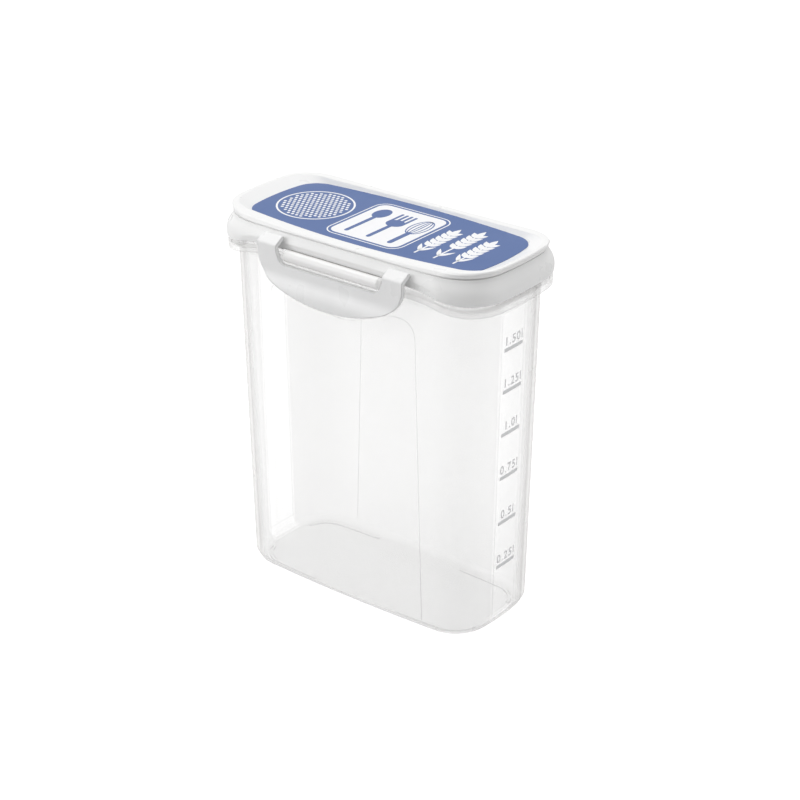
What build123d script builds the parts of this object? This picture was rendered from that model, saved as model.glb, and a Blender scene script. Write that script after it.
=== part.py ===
"""Shaker container of 1.5 litres with a clip lid, in millimetres.

+X runs along the long side, -Y is the front and +Z is up. The origin is the middle of the
footprint, on the surface that the container stands on. A size called a drop is measured down
from the top of the lid.
"""

import os

from build123d import *

os.makedirs("parts", exist_ok=True)

# Overall size: length over the lid, width over both latches, height to the ends of the lid
overall_length = 169.0
overall_width = 98.0
overall_height = 202.0

# Body walls: a bowed rectangle that opens upwards by the draft on each side
wall_setback_end = 6.1
wall_setback_side = 11.2
draft = 2.8
base_corner = 21.4
end_bow = 3.4
side_bow = 2.4
wall = 1.6
floor_thickness = 2.2
bottom_round = 5.0

# Feet under the floor, one at each corner
foot_height = 0.8
foot_inset = 6.5
foot_width = 1.6
foot_gap_long = 56.0
foot_gap_short = 30.0

# Arched panel in each long side, thinner than the wall around it
panel_depth = 0.7
panel_half_top = 45.4
panel_half_bottom = 48.4
panel_shoulder_drop = 39.5
panel_peak_half = 36.0
panel_peak_drop = 30.7
panel_flank_half = 19.2
panel_flank_drop = 35.4
panel_dip_drop = 40.5

# Measuring window in each short side
strip_depth = 0.5
strip_half_width = 9.8
strip_bottom = 6.5
strip_top_drop = 27.0

# Flange and neck of the body
flange_drop = 22.2
flange_thickness = 3.4
flange_inset_end = 0.5
flange_inset_side = 1.0
flange_corner = 23.6
flange_bow = 1.0
flange_lip = 1.2
flange_web = 1.5
flange_bay_setback = 9.1
neck_drop = 8.6

# Bay in the middle of each long side, where the flange and the skirt swing up and in
bay_half = 44.0
bay_blend = 36.0
bay_rise = 4.4

# Catch bar of each latch, carried by a rib on the neck
bar_half_length = 30.0
bar_radius = 3.0
bar_setback = 3.5
bar_drop = 13.1
bar_rib = 2.0
bar_chamfer = 1.2

# Lid: a skirt that bulges out under a crease, and a top plate that rises towards the ends
skirt_setback_side = 7.8
skirt_corner = 24.5
skirt_end_bow = 3.4
skirt_side_bow = 1.0
skirt_drop = 16.1
skirt_lip_inset = 0.3
bulge_drop = 13.0
bulge_end_drop = 11.2
bulge_end_inset = 0.15
waist_drop = 9.6
waist_inset = 0.5
flank_drop = 8.2
flank_inset = 1.0
crease_drop = 3.8
crease_inset = 3.0
skirt_wall = 1.5
skirt_bay_setback = 9.0
skirt_bay_wall = 1.1
notch_half = 33.5
notch_rise = 2.4
plate_inset_end = 0.7
plate_inset_side = 5.5
plate_corner = 18.0
plate_chamfer = 0.8
saddle_rise = 2.0
rim_height = 1.5
rim_slope_end = 8.0
rim_slope_side = 1.5
deck_thickness = 1.8

# Plug of the lid and the seal ring stretched round it
plug_wall = 1.4
plug_depth = 5.0
plug_gap = 0.6
seal_height = 1.8
seal_gap = 0.3
seal_play = 0.1
seal_setback = 0.7

# Label in the recess of the top plate
label_inset_end = 11.3
label_inset_side = 4.4
label_corner = 13.2
label_end_bow = 3.2
label_side_bow = 4.6
label_film = 0.25
label_margin = 0.3

# Latches: a D-shaped frame whose two arms hang from the lid
latch_thickness = 2.2
latch_half = 45.0
latch_flare = 3.0
latch_flare_low_drop = 30.6
latch_flare_high_drop = 20.0
latch_bend_drop = 8.4
latch_drop = 33.3
latch_corner_drop = 21.4
latch_corner = 16.0
window_gap = 0.9
window_half_low = 30.6
window_half_high = 33.0
window_high_drop = 11.0
window_corner = 4.5
root_gap = 0.2
root_drop = 5.8

# Levels that follow from the drops
flange_low = overall_height - flange_drop
wall_top = flange_low + bay_rise + flange_thickness
neck_top = overall_height - neck_drop
skirt_bottom = overall_height - skirt_drop
crease_height = overall_height - crease_drop
seat_height = neck_top + seal_gap + seal_height
deck_top = overall_height - saddle_rise - rim_height
bar_z = overall_height - bar_drop
floor_top = foot_height + floor_thickness

# Widths and lengths that follow from the setbacks
skirt_width = overall_width - 2 * skirt_setback_side
base_length = overall_length - 2 * (wall_setback_end + draft)
base_width = overall_width - 2 * (wall_setback_side + draft)
crease_width = skirt_width - 2 * crease_inset
plate_length = overall_length - 2 * plate_inset_end
plate_width = skirt_width - 2 * plate_inset_side
label_length = plate_length - 2 * label_inset_end
label_width = plate_width - 2 * label_inset_side
latch_face = overall_width / 2 - latch_flare
bar_y = latch_face - bar_setback
skirt_bay_face = overall_width / 2 - skirt_bay_setback
flange_bay_face = overall_width / 2 - flange_bay_setback

# Hinge axis of each latch: the rounded root of its arms lies against the slope of the lid
root_radius = latch_thickness / 2
root_z = overall_height - root_drop
flank_slope = (crease_inset - flank_inset) / (flank_drop - crease_drop)
root_reach = (root_radius + root_gap) * (1 + flank_slope ** 2) ** 0.5
root_y = crease_width / 2 + (root_drop - crease_drop) * flank_slope + root_reach


def bowed_outline(length, width, corner, bow_end=end_bow, bow_side=side_bow):
    """Closed outline of four shallow arcs with rounded corners, in the sketch being built."""
    x, y = length / 2 - bow_end, width / 2 - bow_side
    with BuildLine() as arcs:
        ThreePointArc((-x, -y), (0, -width / 2), (x, -y))
        ThreePointArc((x, -y), (length / 2, 0), (x, y))
        ThreePointArc((x, y), (0, width / 2), (-x, y))
        ThreePointArc((-x, y), (-length / 2, 0), (-x, -y))
    face = make_face(arcs.edges())
    fillet(face.vertices(), corner)


def body_outline(height, inset):
    """Outline of the drafted wall at a height, moved inwards by inset."""
    spread = draft * height / flange_low
    length = base_length + 2 * (spread - inset)
    width = base_width + 2 * (spread - inset)
    bowed_outline(length, width, base_corner - inset)


def skirt_outline(inset):
    """Outline of the lid's skirt, moved inwards by inset from its widest level."""
    length, width = overall_length - 2 * inset, skirt_width - 2 * inset
    bowed_outline(length, width, skirt_corner, skirt_end_bow, skirt_side_bow)


def wave(far, bay):
    """Line along X at the level far, swinging to the level bay over the middle of a long side."""
    inner, outer = bay_half, bay_half + bay_blend
    middle, half_way = (inner + outer) / 2, (far + bay) / 2
    Line((-overall_length, far), (-outer, far))
    TangentArc((-outer, far), (-middle, half_way), tangent=(1, 0))
    TangentArc((-inner, bay), (-middle, half_way), tangent=(-1, 0))
    Line((-inner, bay), (inner, bay))
    TangentArc((inner, bay), (middle, half_way), tangent=(1, 0))
    TangentArc((outer, far), (middle, half_way), tangent=(-1, 0))
    Line((outer, far), (overall_length, far))


def wave_region(far, bay, edge):
    """Face between the wave and a straight edge at the level edge, in the sketch being built."""
    x = overall_length
    with BuildLine() as border:
        wave(far, bay)
        Polyline((x, far), (x, edge), (-x, edge), (-x, far))
    make_face(border.edges())


def wave_band(low, high):
    """Face of a band between two levels that rises over the bay, in the sketch being built."""
    x = overall_length
    with BuildLine() as border:
        wave(low, low + bay_rise)
        Line((x, low), (x, high))
        wave(high, high + bay_rise)
        Line((-x, low), (-x, high))
    make_face(border.edges())


def bay_pocket(face, half_width, low, high):
    """Solid outside both bays: its inner side is at the distance face from the long axis."""
    with BuildPart() as pocket:
        with BuildSketch(Plane.XY.offset(low)):
            wave_region(-half_width, -face, -overall_width)
        extrude(amount=high - low)
        mirror(about=Plane.XZ)
    return pocket.part


def wall_recess(depth, outline, plane):
    """Skin of the body, depth thick, within an outline drawn on an upright plane through Z."""
    with BuildPart() as skin:
        with BuildSketch(Plane.XY.offset(foot_height)):
            body_outline(foot_height, -1)
        with BuildSketch(Plane.XY.offset(neck_top)):
            body_outline(neck_top, -1)
        loft()
        with BuildSketch(Plane.XY.offset(foot_height)):
            body_outline(foot_height, depth)
        with BuildSketch(Plane.XY.offset(neck_top)):
            body_outline(neck_top, depth)
        loft(mode=Mode.SUBTRACT)
        with BuildSketch(plane):
            outline()
        extrude(amount=overall_length, both=True, mode=Mode.INTERSECT)
    return skin.part


def panel_outline():
    """Arch of the long side: a round shoulder each side of a dip that follows the latch."""
    corner = (panel_half_top, overall_height - panel_shoulder_drop)
    peak = (panel_peak_half, overall_height - panel_peak_drop)
    flank = (panel_flank_half, overall_height - panel_flank_drop)
    with BuildLine() as arch:
        Polyline((-corner[0], corner[1]), (-panel_half_bottom, 0), (panel_half_bottom, 0), corner)
        TangentArc(corner, peak, tangent=(0, 1))
        Spline(
            peak, flank, (0, overall_height - panel_dip_drop), (-flank[0], flank[1]),
            (-peak[0], peak[1]), tangents=[(-1, 0), (-1, 0)],
        )
        TangentArc((-corner[0], corner[1]), (-peak[0], peak[1]), tangent=(0, 1))
    make_face(arch.edges())


def strip_outline():
    """Upright window of the short side, from just over the floor to the flange."""
    top = overall_height - strip_top_drop
    with Locations((0, (strip_bottom + top) / 2)):
        Rectangle(2 * strip_half_width, top - strip_bottom)


# Recesses and flange of the body
panel_recess = wall_recess(panel_depth, panel_outline, Plane.XZ)
strip_recess = wall_recess(strip_depth, strip_outline, Plane.YZ)
flange_length = overall_length - 2 * flange_inset_end
flange_width = skirt_width - 2 * flange_inset_side
flange_pocket = bay_pocket(flange_bay_face, flange_width / 2, flange_low, neck_top)
hollow_pocket = bay_pocket(flange_bay_face - flange_lip, flange_width / 2, flange_low, neck_top)

with BuildPart() as flange_hollow:
    with BuildSketch(Plane.XY.offset(flange_low)):
        bowed_outline(flange_length - 2 * flange_lip, flange_width - 2 * flange_lip,
                      flange_corner - flange_lip, end_bow, flange_bow)
    extrude(amount=bay_rise + flange_thickness)
    with BuildSketch(Plane.XZ):
        wave_band(flange_low, flange_low + flange_thickness - flange_web)
    extrude(amount=overall_width, both=True, mode=Mode.INTERSECT)
    add(hollow_pocket, mode=Mode.SUBTRACT)

with BuildPart() as flange:
    with BuildSketch(Plane.XY.offset(flange_low)):
        bowed_outline(flange_length, flange_width, flange_corner, end_bow, flange_bow)
    extrude(amount=bay_rise + flange_thickness)
    with BuildSketch(Plane.XZ):
        wave_band(flange_low, flange_low + flange_thickness)
    extrude(amount=overall_width, both=True, mode=Mode.INTERSECT)
    add(flange_pocket, mode=Mode.SUBTRACT)
    add(flange_hollow.part, mode=Mode.SUBTRACT)

# Catch bars, front and back, each with its rib
with BuildPart() as catch_bars:
    with BuildSketch(Plane.YZ.offset(-bar_half_length)):
        with Locations((-bar_y, bar_z)):
            Circle(bar_radius)
    extrude(amount=2 * bar_half_length)
    chamfer(catch_bars.edges().filter_by(GeomType.CIRCLE), bar_chamfer)
    with BuildSketch(Plane.XY.offset(bar_z - bar_rib / 2)):
        with Locations((0, -bar_y / 2)):
            Rectangle(2 * bar_half_length, bar_y)
    extrude(amount=bar_rib)
    mirror(about=Plane.XZ)

# Feet: a low rib along each corner
with BuildPart() as feet:
    with BuildSketch():
        body_outline(0, foot_inset)
    extrude(amount=foot_height)
    with BuildSketch():
        body_outline(0, foot_inset + foot_width)
    extrude(amount=foot_height, mode=Mode.SUBTRACT)
    with BuildSketch():
        Rectangle(foot_gap_long, overall_width)
        Rectangle(overall_length, foot_gap_short)
    extrude(amount=foot_height, mode=Mode.SUBTRACT)

# Levels of the outer wall with their insets: two bands round the bottom, then the straight draft
wall_levels = [
    (foot_height, bottom_round),
    (foot_height + 0.2 * bottom_round, 0.4 * bottom_round),
    (foot_height + bottom_round, 0),
    (flange_low - flange_thickness, 0),
    (wall_top, 0),
]

with BuildPart() as container_body:
    for height, inset in wall_levels:
        with BuildSketch(Plane.XY.offset(height)):
            body_outline(height, inset)
    loft(ruled=True)
    add(panel_recess, mode=Mode.SUBTRACT)
    add(strip_recess, mode=Mode.SUBTRACT)
    with BuildSketch(Plane.XY.offset(wall_top)):
        body_outline(wall_top, 0)
    extrude(amount=neck_top - wall_top)
    add(flange.part)
    add(catch_bars.part)
    with BuildSketch(Plane.XY.offset(floor_top)):
        body_outline(floor_top, wall)
    with BuildSketch(Plane.XY.offset(neck_top)):
        body_outline(neck_top, wall)
    loft(mode=Mode.SUBTRACT)
    add(feet.part)
container_body.part.label = "container_body"
export_step(container_body.part, "parts/container_body.step")

# Lid: its inner hollow, its top plate and the recess for the label are made on their own first
lip = (skirt_bottom, skirt_lip_inset)
bulge = (overall_height - bulge_drop, 0)
bulge_end = (overall_height - bulge_end_drop, bulge_end_inset)
waist = (overall_height - waist_drop, waist_inset)
flank = (overall_height - flank_drop, flank_inset)
crease = (crease_height, crease_inset)
skirt_pocket = bay_pocket(skirt_bay_face, skirt_width / 2, skirt_bottom, crease_height)
inner_pocket = bay_pocket(skirt_bay_face - skirt_bay_wall, skirt_width / 2, skirt_bottom,
                          crease_height)

with BuildPart() as lid_hollow:
    for height, inset in (lip, bulge, waist, crease):
        with BuildSketch(Plane.XY.offset(height)):
            skirt_outline(inset + skirt_wall)
    loft()
    split(bisect_by=Plane.XY.offset(seat_height), keep=Keep.BOTTOM)
    add(inner_pocket, mode=Mode.SUBTRACT)

# The saddle is an arc along X that reaches the full height just inside the ends of the plate
saddle_reach = plate_length / 2 - 1.46 * plate_chamfer
saddle_radius = (saddle_reach ** 2 + saddle_rise ** 2) / (2 * saddle_rise)
saddle_mid = overall_height - saddle_rise
saddle_end = saddle_mid + saddle_radius - (saddle_radius ** 2 - overall_length ** 2 / 4) ** 0.5

with BuildPart() as top_plate:
    with BuildSketch(Plane.XY.offset(crease_height)):
        skirt_outline(crease_inset)
    with BuildSketch(Plane.XY.offset(overall_height + plate_chamfer)):
        bowed_outline(plate_length, plate_width, plate_corner)
    loft()
    x = overall_length / 2
    with BuildSketch(Plane.XZ):
        with BuildLine():
            ThreePointArc((-x, saddle_end), (0, saddle_mid), (x, saddle_end))
            Polyline((x, saddle_end), (x, seat_height), (-x, seat_height), (-x, saddle_end))
        make_face()
    extrude(amount=overall_width, both=True, mode=Mode.INTERSECT)
    chamfer(top_plate.faces().sort_by(Axis.Z)[-1].outer_wire().edges(), plate_chamfer)

recess_length = label_length + 2 * label_margin
recess_width = label_width + 2 * label_margin
with BuildPart() as label_recess:
    with BuildSketch(Plane.XY.offset(deck_top)):
        bowed_outline(recess_length, recess_width, label_corner, label_end_bow, label_side_bow)
    with BuildSketch(Plane.XY.offset(overall_height)):
        bowed_outline(recess_length + 2 * rim_slope_end, recess_width + 2 * rim_slope_side,
                      label_corner + rim_slope_side, label_end_bow, label_side_bow)
    loft()

# Notches in the skirt over the catch bars, clear of the plug and the neck inside them
with BuildPart() as bar_notch:
    notch_depth = skirt_bay_face - (bar_y - bar_radius) + skirt_bay_wall
    with BuildSketch(Plane.XZ.offset(skirt_bay_face - notch_depth)):
        with Locations((0, bar_z)):
            Rectangle(2 * notch_half, 2 * notch_rise)
    extrude(amount=2 * notch_depth)
    mirror(about=Plane.XZ)

with BuildPart() as lid:
    for height, inset in (lip, bulge, bulge_end, waist, flank, crease):
        with BuildSketch(Plane.XY.offset(height)):
            skirt_outline(inset)
    loft()
    with BuildSketch(Plane.XZ):
        wave_region(skirt_bottom, skirt_bottom + bay_rise, overall_height)
    extrude(amount=overall_width, both=True, mode=Mode.INTERSECT)
    add(skirt_pocket, mode=Mode.SUBTRACT)
    add(top_plate.part)
    add(label_recess.part, mode=Mode.SUBTRACT)
    add(lid_hollow.part, mode=Mode.SUBTRACT)
    with BuildSketch(Plane.XY.offset(seat_height)):
        body_outline(neck_top, wall + plug_gap)
    extrude(amount=neck_top - plug_depth - seat_height)
    with BuildSketch(Plane.XY.offset(deck_top - deck_thickness)):
        body_outline(neck_top, wall + plug_gap + plug_wall)
    extrude(amount=neck_top - plug_depth - deck_top + deck_thickness, mode=Mode.SUBTRACT)
    add(bar_notch.part, mode=Mode.SUBTRACT)
lid.part.label = "lid"
export_step(lid.part, "parts/lid.step")

# Seal ring, stretched round the plug and pressed up against the seat
plug_inset = wall + plug_gap
with BuildPart() as seal_ring:
    with BuildSketch(Plane.XY.offset(neck_top + seal_gap)):
        body_outline(neck_top, seal_setback)
    extrude(amount=seal_height)
    with BuildSketch(Plane.XY.offset(neck_top + seal_gap)):
        body_outline(neck_top, plug_inset - seal_play)
    extrude(amount=seal_height, mode=Mode.SUBTRACT)
seal_ring.part.label = "seal_ring"
export_step(seal_ring.part, "parts/seal_ring.step")

# Label film, lying in its recess
with BuildPart() as lid_label:
    with BuildSketch(Plane.XY.offset(deck_top)):
        bowed_outline(label_length, label_width, label_corner - label_margin, label_end_bow,
                      label_side_bow)
    extrude(amount=label_film)
lid_label.part.label = "lid_label"
export_step(lid_label.part, "parts/lid_label.step")

# Latch: a bent slab cut to the outline of a D, with a window for the catch bar
latch_low = overall_height - latch_drop
window_low = bar_z - bar_radius - window_gap
inner_y = latch_face - latch_thickness / 2

with BuildPart() as front_latch:
    with BuildSketch(Plane.YZ):
        with BuildLine():
            flare_low = overall_height - latch_flare_low_drop
            flare_high = overall_height - latch_flare_high_drop
            flare_middle = (-inner_y - latch_flare / 2, (flare_low + flare_high) / 2)
            Polyline(
                (-root_y, root_z), (-inner_y, overall_height - latch_bend_drop),
                (-inner_y, flare_high),
            )
            TangentArc((-inner_y, flare_high), flare_middle, tangent=(0, -1))
            TangentArc((-inner_y - latch_flare, flare_low), flare_middle, tangent=(0, 1))
            Line((-inner_y - latch_flare, flare_low),
                 (-inner_y - latch_flare, latch_low - latch_thickness))
            offset(amount=latch_thickness / 2)
        make_face()
    extrude(amount=latch_half, both=True)
    with BuildSketch(Plane.XZ) as latch_outline:
        with BuildLine():
            corner_z = overall_height - latch_corner_drop
            ThreePointArc((-latch_half, corner_z), (0, latch_low), (latch_half, corner_z))
            Polyline(
                (latch_half, corner_z), (latch_half, overall_height),
                (-latch_half, overall_height), (-latch_half, corner_z),
            )
        make_face()
        fillet(latch_outline.vertices().group_by(Axis.Y)[0], latch_corner)
    extrude(amount=overall_width, mode=Mode.INTERSECT)
    with BuildSketch(Plane.XZ) as window:
        with BuildLine():
            high = overall_height - window_high_drop
            Polyline(
                (-window_half_low, window_low), (window_half_low, window_low),
                (window_half_high, high), (window_half_high, overall_height),
                (-window_half_high, overall_height), (-window_half_high, high), close=True,
            )
        make_face()
        fillet(window.vertices().group_by(Axis.Y)[0], window_corner)
    extrude(amount=overall_width, mode=Mode.SUBTRACT)
front_latch.part.label = "front_latch"
export_step(front_latch.part, "parts/front_latch.step")

with BuildPart() as rear_latch:
    add(front_latch.part)
    mirror(about=Plane.XZ, mode=Mode.REPLACE)
rear_latch.part.label = "rear_latch"
export_step(rear_latch.part, "parts/rear_latch.step")
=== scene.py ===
import math

import bmesh
import bpy
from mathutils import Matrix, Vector
from mathutils.bvhtree import BVHTree


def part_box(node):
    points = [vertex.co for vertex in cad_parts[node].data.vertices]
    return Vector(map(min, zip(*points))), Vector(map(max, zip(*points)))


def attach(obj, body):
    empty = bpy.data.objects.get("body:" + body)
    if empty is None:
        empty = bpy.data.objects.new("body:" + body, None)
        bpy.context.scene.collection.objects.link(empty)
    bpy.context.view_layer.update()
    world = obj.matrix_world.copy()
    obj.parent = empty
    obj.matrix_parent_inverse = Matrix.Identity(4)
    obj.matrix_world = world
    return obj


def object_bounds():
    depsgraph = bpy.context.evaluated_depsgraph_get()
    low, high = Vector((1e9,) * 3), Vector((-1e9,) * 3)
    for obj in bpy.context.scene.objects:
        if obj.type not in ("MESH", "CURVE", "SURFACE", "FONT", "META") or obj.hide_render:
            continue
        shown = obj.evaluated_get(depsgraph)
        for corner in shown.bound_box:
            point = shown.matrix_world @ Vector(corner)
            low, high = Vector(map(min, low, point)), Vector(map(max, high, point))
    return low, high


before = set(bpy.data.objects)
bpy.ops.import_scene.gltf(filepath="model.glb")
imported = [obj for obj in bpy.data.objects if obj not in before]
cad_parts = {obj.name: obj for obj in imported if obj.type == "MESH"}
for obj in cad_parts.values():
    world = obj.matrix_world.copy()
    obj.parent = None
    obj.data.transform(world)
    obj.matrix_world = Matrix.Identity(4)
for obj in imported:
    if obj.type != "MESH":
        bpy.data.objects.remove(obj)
cad_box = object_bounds()

MM = 0.001
BSDF = "Principled BSDF"

# Camera, fitted to the three sizes that the photograph states: degrees, metres, pixels
AZIMUTH = 38.1
ELEVATION = 25.7
DISTANCE = 1.0839
TARGET = Vector((0.0054, 0.0033, 0.1036))
FOCAL_PX = 2118
IMAGE_PX = 800
SENSOR_MM = 36

# Lamps all face the middle of the object
LAMP_AIM = Vector((0, 0, 0.1))

# Sky: its strength as a lamp falls towards its dark side, low in front to the right
SKY_DARK_SIDE = (0.74, -0.66, -0.12)
SKY_RANGE = (-0.1, 0.95)
SKY_STRENGTHS = (0.74, 0.13)
SKY_SEEN_STRENGTH = 1.0

# Floor: its grey under the lamps, and the grey and glow of its white as the camera sees it
FLOOR_SIZE = 8
FLOOR_GREY = (0.72, 0.72, 0.72)
FLOOR_SEEN_GREY = (0.30, 0.30, 0.30)
FLOOR_SEEN_GLOW = 0.86

# Plastics: index of refraction, usual range of a noise, and depth of the moulded grain in metres
PLASTIC_IOR = 1.49
NOISE_RANGE = (0.3, 0.7)
GRAIN_DEPTH = 0.00002
FILM_SPECULAR = 0.25

# Body: how dense each part looks head on, and how dense all of it looks edge on
WALL_DENSITY = 0.165
WINDOW_DENSITY = 0.04
FLANGE_DENSITY = 0.22
CATCH_BAR_DENSITY = 0.80
EDGE_ON_DENSITY = 0.64

# Body: where the end walls, flange and catch bars begin, and the windows' half width, in metres
END_WALL_X = 0.070
FLANGE_Z = 0.1796
CATCH_BAR_Y = 0.0405
WINDOW_HALF_WIDTH = 0.0098

# Label print: bottom and top of its two layers, above the label's face, in millimetres
LABEL_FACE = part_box("lid_label")[1][2] / MM
WHITE_LAYER = (-0.02, 0.03)
BLUE_LAYER = (0.02, 0.065)
SHAPE_STAGGER = 0.0025
SHAPE_LEVELS = 13

# Label print: places and sizes in millimetres, from the middle of the label
SEEDS_X = -46
SEEDS_REACH = 17.2
SEEDS_RING = 20.2
SEED_RADIUS = 0.86
SEED_STEP_X = 2.7
SEED_STEP_Y = 2.35
BLOCK_X = 1
BLOCK_WIDTH = 42
BLOCK_HEIGHT = 45
BLOCK_CORNER = 5
BLOCK_FRAME = (2.2, 1.5)
SPOON_X = -12
FORK_X = 1.6
WHISK_X = 15
HANDLE_END = -17
EARS = ((32.5, 15), (44, 20), (55.5, 14))

# Measuring scale on the right-hand end: level of each bar, with its mark
SCALE = ((0.1550, "1.50l"), (0.1326, "1.25l"), (0.1092, "1.0l"),
         (0.0851, "0.75l"), (0.0596, "0.5l"), (0.0346, "0.25l"))
SCALE_BAR_WIDTH = 0.015
SCALE_BAR_HEIGHT = 0.002
MARK_SIZE = 0.0064
MARK_ABOVE_BAR = 0.0024
INK_LIFT = 0.00009


# Shader nodes

def principled(name, color, roughness, **sockets):
    """New material; its further sockets are given by name, with _ for each space."""
    mat = bpy.data.materials.new(name)
    mat.use_nodes = True
    bsdf = mat.node_tree.nodes[BSDF]
    bsdf.inputs["Base Color"].default_value = (*color, 1)
    bsdf.inputs["Roughness"].default_value = roughness
    for socket, value in sockets.items():
        bsdf.inputs[socket.replace("_", " ")].default_value = value
    return mat


def feed(mat, output, socket):
    """Link an output to a socket of the material's shader."""
    mat.node_tree.links.new(output, mat.node_tree.nodes[BSDF].inputs[socket])


def noise(tree, scale, detail=3.0):
    """Noise that is fixed to the object."""
    coords = tree.nodes.new("ShaderNodeTexCoord")
    texture = tree.nodes.new("ShaderNodeTexNoise")
    texture.inputs["Scale"].default_value = scale
    texture.inputs["Detail"].default_value = detail
    tree.links.new(coords.outputs["Object"], texture.inputs["Vector"])
    return texture.outputs["Fac"]


def calc(tree, operation, value, second=0):
    """One operation on an output, with a number as its second value."""
    node = tree.nodes.new("ShaderNodeMath")
    node.operation = operation
    node.inputs[1].default_value = second
    tree.links.new(value, node.inputs[0])
    return node.outputs[0]


def map_range(tree, value, source, target=(0, 1)):
    """Output mapped from the source range to the target range, and held at its ends."""
    node = tree.nodes.new("ShaderNodeMapRange")
    for socket, number in zip(("From Min", "From Max", "To Min", "To Max"), (*source, *target)):
        node.inputs[socket].default_value = number
    tree.links.new(value, node.inputs["Value"])
    return node.outputs["Result"]


def mix(tree, kind, factor, first, second):
    """Mix of two numbers (FLOAT) or two colours (RGBA), each a value or an output."""
    node = tree.nodes.new("ShaderNodeMix")
    node.data_type = kind
    for socket, value in (("Factor", factor), ("A", first), ("B", second)):
        if isinstance(value, bpy.types.NodeSocket):
            tree.links.new(value, node.inputs[socket])
        else:
            node.inputs[socket].default_value = value
    return node.outputs["Result"]


def camera_ray(tree):
    """1 for what the camera looks at, 0 for all other light."""
    return tree.nodes.new("ShaderNodeLightPath").outputs["Is Camera Ray"]


# Materials

def cloudy_gloss(mat, cloud, roughness):
    """Roughness that wanders between two values with a cloud."""
    feed(mat, map_range(mat.node_tree, cloud, NOISE_RANGE, roughness), "Roughness")


def moulded_grain(mat, scale, strength, soft_edge=0):
    """Fine grain of a mould; soft_edge rounds the edges, in the shading only."""
    tree = mat.node_tree
    bump = tree.nodes.new("ShaderNodeBump")
    bump.inputs["Strength"].default_value = strength
    bump.inputs["Distance"].default_value = GRAIN_DEPTH
    tree.links.new(noise(tree, scale, detail=2.0), bump.inputs["Height"])
    if soft_edge:
        edge = tree.nodes.new("ShaderNodeBevel")
        edge.inputs["Radius"].default_value = soft_edge
        tree.links.new(edge.outputs["Normal"], bump.inputs["Normal"])
    feed(mat, bump.outputs["Normal"], "Normal")


def moulded(name, first, second, roughness, soft_edge=0, specular=0.5):
    """Satin polypropylene: a faint cloud in the colour and in the gloss, and a fine moulded grain."""
    mat = principled(name, first, roughness[0], IOR=PLASTIC_IOR, Specular_IOR_Level=specular)
    cloud = noise(mat.node_tree, scale=60)
    feed(mat, mix(mat.node_tree, "RGBA", cloud, (*first, 1), (*second, 1)), "Base Color")
    cloudy_gloss(mat, cloud, roughness)
    moulded_grain(mat, scale=2500, strength=0.06, soft_edge=soft_edge)
    return mat


def body_density(tree):
    """Density of the body head on, by place: walls, measuring windows, flange, catch bars."""
    coords = tree.nodes.new("ShaderNodeTexCoord")
    axes = tree.nodes.new("ShaderNodeSeparateXYZ")
    tree.links.new(coords.outputs["Object"], axes.inputs[0])

    # each line takes over from those above it, beyond its distance from the middle or the ground
    density = WALL_DENSITY
    for axis, distance, beyond in (("X", END_WALL_X, WINDOW_DENSITY),
                                   ("Y", WINDOW_HALF_WIDTH, WALL_DENSITY),
                                   ("Z", FLANGE_Z, FLANGE_DENSITY),
                                   ("Y", CATCH_BAR_Y, CATCH_BAR_DENSITY)):
        where = calc(tree, "GREATER_THAN", calc(tree, "ABSOLUTE", axes.outputs[axis]), distance)
        density = mix(tree, "FLOAT", where, density, beyond)
    return density


def clear_body():
    """Thin milky polypropylene: see-through head on, denser and warmer where it is seen edge on."""
    head_on_color = (0.98, 0.975, 0.97)
    edge_on_color = (0.74, 0.71, 0.695)
    edge_on_range = (0.34, 0.92)
    roughness = (0.26, 0.34)
    mat = principled("clear_body", head_on_color, roughness[0], IOR=PLASTIC_IOR)
    tree = mat.node_tree
    facing = tree.nodes.new("ShaderNodeLayerWeight")
    facing.inputs["Blend"].default_value = 0.35
    edge_on = map_range(tree, facing.outputs["Facing"], edge_on_range)
    feed(mat, mix(tree, "RGBA", edge_on, (*head_on_color, 1), (*edge_on_color, 1)), "Base Color")
    feed(mat, mix(tree, "FLOAT", edge_on, body_density(tree), EDGE_ON_DENSITY), "Alpha")
    cloudy_gloss(mat, noise(tree, scale=35), roughness)
    moulded_grain(mat, scale=1800, strength=0.05)
    return mat


CLEAR_BODY = clear_body()
WHITE_LID = moulded("white_lid", (0.90, 0.90, 0.895), (0.88, 0.88, 0.877),
                    roughness=(0.26, 0.34), soft_edge=0.0006)
WHITE_LATCH = moulded("white_latch", (0.88, 0.88, 0.88), (0.86, 0.86, 0.862),
                      roughness=(0.26, 0.34), soft_edge=0.0009)
SEAL = moulded("seal", (0.80, 0.81, 0.81), (0.77, 0.78, 0.78), roughness=(0.42, 0.50))
FILM_BLUE = moulded("print_film_blue", (0.090, 0.155, 0.360), (0.084, 0.147, 0.345),
                    roughness=(0.30, 0.36), specular=FILM_SPECULAR)
FILM_WHITE = moulded("print_film_white", (0.90, 0.90, 0.91), (0.87, 0.87, 0.885),
                     roughness=(0.34, 0.40), specular=FILM_SPECULAR)
SCALE_INK = moulded("scale_ink", (0.78, 0.78, 0.79), (0.74, 0.74, 0.75), roughness=(0.45, 0.55))


# Pieces from the frame

for node, material in (("container_body", CLEAR_BODY), ("seal_ring", SEAL), ("lid", WHITE_LID),
                       ("lid_label", FILM_BLUE), ("front_latch", WHITE_LATCH), ("rear_latch", WHITE_LATCH)):
    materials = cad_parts[node].data.materials
    materials.clear()
    materials.append(material)


# Outlines of the label print, as lists of points in millimetres

def arc(x, y, radius, start, turn, steps):
    """Arc from the angle start, with both its ends."""
    angles = [start + turn * i / steps for i in range(steps + 1)]
    return [(x + radius * math.cos(angle), y + radius * math.sin(angle)) for angle in angles]


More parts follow.
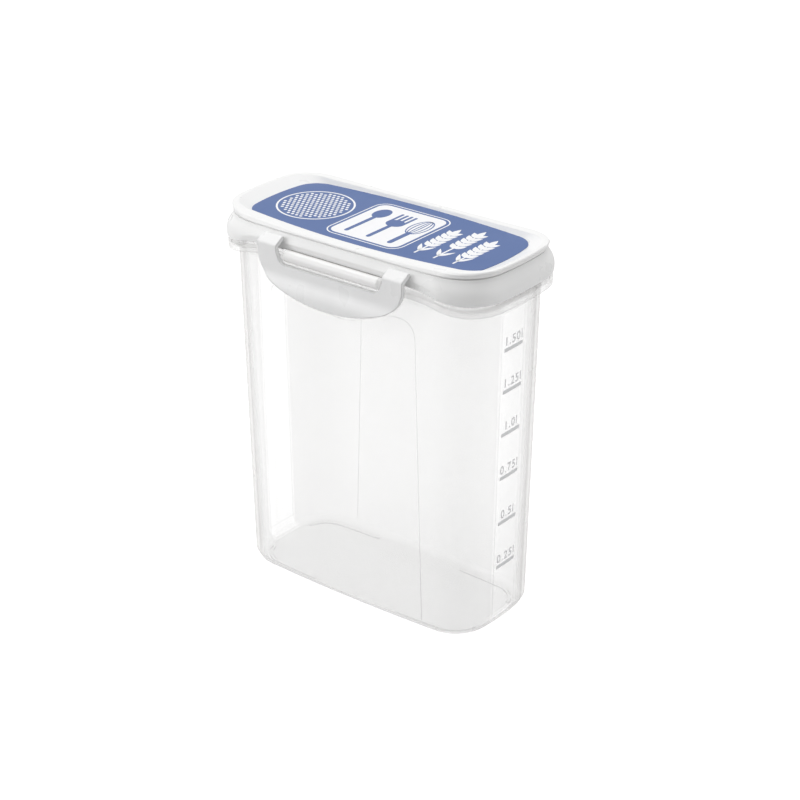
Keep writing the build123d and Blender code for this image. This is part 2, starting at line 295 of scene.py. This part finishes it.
def disc(x, y, half_width, half_height, steps=28):
    """Ellipse."""
    angles = [2 * math.pi * i / steps for i in range(steps)]
    return [(x + half_width * math.cos(angle), y + half_height * math.sin(angle)) for angle in angles]


def hoop(x, y, half_width, half_height, wire, steps):
    """Outer and inner outline of an elliptical ring."""
    return (disc(x, y, half_width, half_height, steps),
            disc(x, y, half_width - wire, half_height - wire, steps))


def bar(x0, y0, x1, y1, width):
    """Round-ended stroke."""
    lean = math.atan2(y1 - y0, x1 - x0)
    return (arc(x1, y1, width / 2, lean - math.pi / 2, math.pi, steps=8)
            + arc(x0, y0, width / 2, lean + math.pi / 2, math.pi, steps=8))


def leaf(x, y, length, width, degrees, steps=10):
    """Pointed leaf that starts at x, y; a skew under 1 makes it widest before its middle."""
    skew = 0.8
    along, across = math.cos(math.radians(degrees)), math.sin(math.radians(degrees))
    half = [(length * i / steps, width / 2 * math.sin(math.pi * (i / steps) ** skew))
            for i in range(steps + 1)]
    outline = half + [(u, -v) for u, v in reversed(half[1:-1])]
    return [(x + u * along - v * across, y + u * across + v * along) for u, v in outline]


def block(x, y, width, height, radius):
    """Rectangle with round corners."""
    points = []
    for corner, (side, end) in enumerate(((1, 1), (-1, 1), (-1, -1), (1, -1))):
        points += arc(x + side * (width / 2 - radius), y + end * (height / 2 - radius), radius,
                      corner * math.pi / 2, math.pi / 2, steps=6)
    return points


# Motifs of the label print, as lists of outlines

def seeds():
    """Round field of seeds on a slanting grid."""
    rows = int(SEEDS_REACH / SEED_STEP_Y)
    columns = int(SEEDS_REACH / SEED_STEP_X) + 1
    field = []
    for row in range(-rows, rows + 1):
        for column in range(-columns, columns + 1):
            x = column * SEED_STEP_X + (row % 2) * SEED_STEP_X / 2
            y = row * SEED_STEP_Y
            if math.hypot(x, y) < SEEDS_REACH:
                field.append(disc(SEEDS_X + x, y, SEED_RADIUS, SEED_RADIUS, steps=12))
    return field


def tool_block(grow=0):
    """White block behind the kitchen tools, or its outline grown on all sides for its frame."""
    return block(BLOCK_X, 0, BLOCK_WIDTH + 2 * grow, BLOCK_HEIGHT + 2 * grow, BLOCK_CORNER + grow)


def spoon(x):
    """Bowl and handle."""
    return [disc(x, 11, half_width=4.4, half_height=6.4),
            bar(x, 6, x, HANDLE_END, width=2.4)]


def fork(x):
    """Four prongs, the root that they share and a handle."""
    prong_step = 2.8
    prongs = [x + prong_step * place for place in (-1.5, -0.5, 0.5, 1.5)]
    return ([bar(prong, 5, prong, 16, width=1.5) for prong in prongs]
            + [disc(x, 4.4, half_width=5.0, half_height=4.6),
               bar(x, 2, x, HANDLE_END, width=2.4)])


def whisk_handle(x):
    """Handle, which the wires of the whisk run into."""
    return [bar(x, -2, x, HANDLE_END, width=2.8)]


def whisk_wires(x):
    """Three loops of wire, one inside the other."""
    return [hoop(x, 7, half_width, half_height=10.0, wire=0.7, steps=40)
            for half_width in (1.2, 3.4, 5.4)]


def ear(x, tip):
    """Ear of grain: stalk, top grain, five pairs of grains and two blades at the foot."""
    foot, blades, neck, first_pair = -20, -17, tip - 6, tip - 7
    pair_step = 4.4
    shapes = [bar(x, foot, x, neck, width=1.0),
              leaf(x, neck, length=8.5, width=3.2, degrees=90)]
    for pair in range(5):
        shapes += [leaf(x, first_pair - pair_step * pair, length=6.8, width=3.3, degrees=90 + lean)
                   for lean in (-38, 38)]
    return shapes + [leaf(x, blades, length=9.5, width=2.2, degrees=90 + lean) for lean in (-28, 28)]


# Print on the label and on the end wall

def mesh_object(name, bm, mat):
    """Object with the mesh that a bmesh holds; the bmesh is freed."""
    mesh = bpy.data.meshes.new(name)
    bm.to_mesh(mesh)
    bm.free()
    mesh.materials.append(mat)
    o = bpy.data.objects.new(name, mesh)
    bpy.context.scene.collection.objects.link(o)
    return o


def strip(bm, near, far, closed=True):
    """Faces between two rows of vertices."""
    count = len(near)
    for i in range(count if closed else count - 1):
        k = (i + 1) % count
        bm.faces.new((near[i], near[k], far[k], far[i]))


def raise_outline(bm, outline, z):
    """Vertices of an outline at a height, from millimetres."""
    return [bm.verts.new((x * MM, y * MM, z * MM)) for x, y in outline]


def printed(name, shapes, rings, layer, mat):
    """Thin raised print: solid shapes, and rings between an outer and an inner outline."""
    low, high = (LABEL_FACE + height for height in layer)
    bm = bmesh.new()
    for number, shape in enumerate(shapes):
        # shapes that overlap lie at slightly different levels
        level = high + SHAPE_STAGGER * (number % SHAPE_LEVELS)
        bottom = raise_outline(bm, shape, low)
        top = raise_outline(bm, shape, level)
        bm.faces.new(top)
        strip(bm, bottom, top)
    for outer, inner in rings:
        loops = [raise_outline(bm, outline, z)
                 for outline, z in ((outer, low), (outer, high), (inner, high), (inner, low))]
        for near, far in zip(loops, loops[1:]):
            strip(bm, near, far)
    o = mesh_object(name, bm, mat)
    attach(o, "lid")


def label_print():
    """White motifs on the blue label, and blue kitchen tools on the white block in its middle."""
    white = seeds() + [tool_block()]
    for x, tip in EARS:
        white += ear(x, tip)
    frames = [hoop(SEEDS_X, 0, SEEDS_RING, SEEDS_RING, wire=1.0, steps=64),
              [tool_block(grow) for grow in BLOCK_FRAME]]
    printed("label_print", white, frames, WHITE_LAYER, FILM_WHITE)

    tools = spoon(SPOON_X) + fork(FORK_X) + whisk_handle(WHISK_X)
    printed("label_print_tools", tools, whisk_wires(WHISK_X), BLUE_LAYER, FILM_BLUE)


body_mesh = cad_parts["container_body"].data
body_tree = BVHTree.FromPolygons([v.co[:] for v in body_mesh.vertices],
                                 [tuple(p.vertices) for p in body_mesh.polygons])


def on_end(y, z):
    """Point just outside the right-hand end wall."""
    start = Vector((cad_box[1][0] + 0.1, y, z))
    hit = body_tree.ray_cast(start, Vector((-1, 0, 0)))[0]
    return Vector((hit.x + INK_LIFT, y, z))


def lettering(text):
    """Flat mesh of a mark, centred on zero and standing on it."""
    curve = bpy.data.curves.new("mark", "FONT")
    curve.body = text
    curve.size = MARK_SIZE
    curve.space_character = 1.2
    curve.offset = 0.00012
    curve.align_x = "CENTER"
    carrier = bpy.data.objects.new("mark", curve)
    bpy.context.scene.collection.objects.link(carrier)
    bpy.context.view_layer.update()
    flat = bpy.data.meshes.new_from_object(carrier)
    bpy.data.objects.remove(carrier)
    return flat


def scale_mark(level, text):
    """Bar of the measuring scale, with its mark above it, both laid on the wall."""
    bm = bmesh.new()
    steps = 12
    across = [-SCALE_BAR_WIDTH / 2 + SCALE_BAR_WIDTH * i / steps for i in range(steps + 1)]
    low, high = ([bm.verts.new(on_end(y, level + side * SCALE_BAR_HEIGHT / 2)) for y in across]
                 for side in (-1, 1))
    strip(bm, low, high, closed=False)

    bar_vertices = len(bm.verts)
    bm.from_mesh(lettering(text))
    bm.verts.ensure_lookup_table()
    for v in bm.verts[bar_vertices:]:
        v.co = on_end(v.co.x, level + MARK_ABOVE_BAR + v.co.y)
    o = mesh_object("scale_" + text, bm, SCALE_INK)
    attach(o, "container")


label_print()
for level, text in SCALE:
    scale_mark(level, text)


# Camera, floor and light

def aim_camera():
    """Camera at the photograph's viewing angle."""
    turn, rise = math.radians(AZIMUTH), math.radians(ELEVATION)
    back = Vector((math.sin(turn) * math.cos(rise), -math.cos(turn) * math.cos(rise), math.sin(rise)))
    camera = bpy.data.objects.new("camera", bpy.data.cameras.new("camera"))
    bpy.context.scene.collection.objects.link(camera)
    camera.data.lens = FOCAL_PX * SENSOR_MM / IMAGE_PX
    camera.location = TARGET + back * DISTANCE
    camera.rotation_euler = back.to_track_quat("Z", "Y").to_euler()
    bpy.context.scene.camera = camera


def white_floor():
    """Floor that the camera sees as white with a soft shadow, and all other light as pale grey."""
    bpy.ops.mesh.primitive_plane_add(size=FLOOR_SIZE)
    floor = bpy.context.object
    floor.name = "floor"
    mat = principled("floor", FLOOR_GREY, 0.8, Emission_Color=(1, 1, 1, 1))
    seen = camera_ray(mat.node_tree)
    grey = mix(mat.node_tree, "RGBA", seen, (*FLOOR_GREY, 1), (*FLOOR_SEEN_GREY, 1))
    feed(mat, grey, "Base Color")
    feed(mat, calc(mat.node_tree, "MULTIPLY", seen, FLOOR_SEEN_GLOW), "Emission Strength")
    floor.data.materials.append(mat)


def softbox(name, place, size, watts):
    """Rectangular lamp; size is its two sides."""
    lamp = bpy.data.lights.new(name, "AREA")
    lamp.shape = "RECTANGLE"
    lamp.size, lamp.size_y = size
    lamp.energy = watts
    o = bpy.data.objects.new(name, lamp)
    bpy.context.scene.collection.objects.link(o)
    o.location = place
    o.rotation_euler = (Vector(place) - LAMP_AIM).to_track_quat("Z", "Y").to_euler()


def white_sky():
    """Sky that is white where the camera looks at it; as a lamp it darkens towards its dark side."""
    world = bpy.data.worlds.new("world")
    bpy.context.scene.world = world
    world.use_nodes = True
    tree = world.node_tree
    coords = tree.nodes.new("ShaderNodeTexCoord")
    darkness = tree.nodes.new("ShaderNodeVectorMath")
    darkness.operation = "DOT_PRODUCT"
    darkness.inputs[1].default_value = SKY_DARK_SIDE
    tree.links.new(coords.outputs["Generated"], darkness.inputs[0])
    lamp = map_range(tree, darkness.outputs["Value"], SKY_RANGE, SKY_STRENGTHS)
    strength = mix(tree, "FLOAT", camera_ray(tree), lamp, SKY_SEEN_STRENGTH)
    sky = tree.nodes["Background"]
    sky.inputs["Color"].default_value = (1, 1, 1, 1)
    tree.links.new(strength, sky.inputs["Strength"])


aim_camera()
white_floor()
softbox("top", place=(-0.15, 0.1, 1.2), size=(1.4, 1.4), watts=6.7)
softbox("left", place=(-0.9, -0.9, 0.55), size=(0.7, 0.9), watts=4.8)
softbox("right", place=(1.2, 0.25, 0.5), size=(0.7, 0.9), watts=2.2)
white_sky()
bpy.context.scene.view_settings.view_transform = "Standard"
